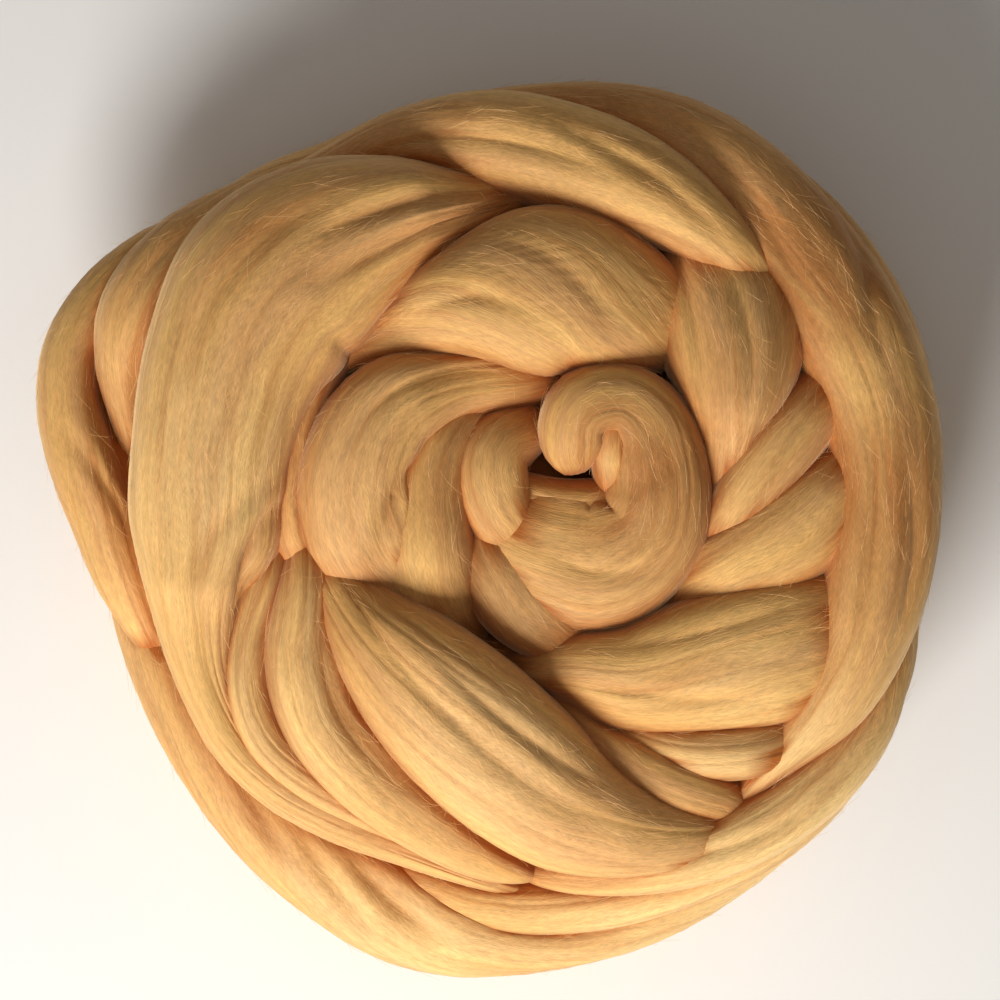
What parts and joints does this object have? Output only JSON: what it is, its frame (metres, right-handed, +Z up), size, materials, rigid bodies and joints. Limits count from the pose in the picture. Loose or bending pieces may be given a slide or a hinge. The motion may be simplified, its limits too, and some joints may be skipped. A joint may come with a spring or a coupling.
{
  "type": "chunky blanket yarn",
  "caption": "Thick unspun combed wool roving for hand-knitted blankets, wound on itself into a flat round bun with a rolled knob in its middle.",
  "frame": {"origin": "on the surface it rests on, in the middle of the flat underside", "axes": "+Z up out of the top of the bun, +Y towards the back, which is the top of the picture, +X to the right in the picture"},
  "size_m": [0.2627, 0.2613, 0.1012],
  "materials": {
    "wool": "combed unspun wool, soft and matt, golden tan with paler and browner streaks along the fibres and loose hairs"
  },
  "bodies": {
    "root": {"wound_roving": "wool"}
  },
  "joints": []
}
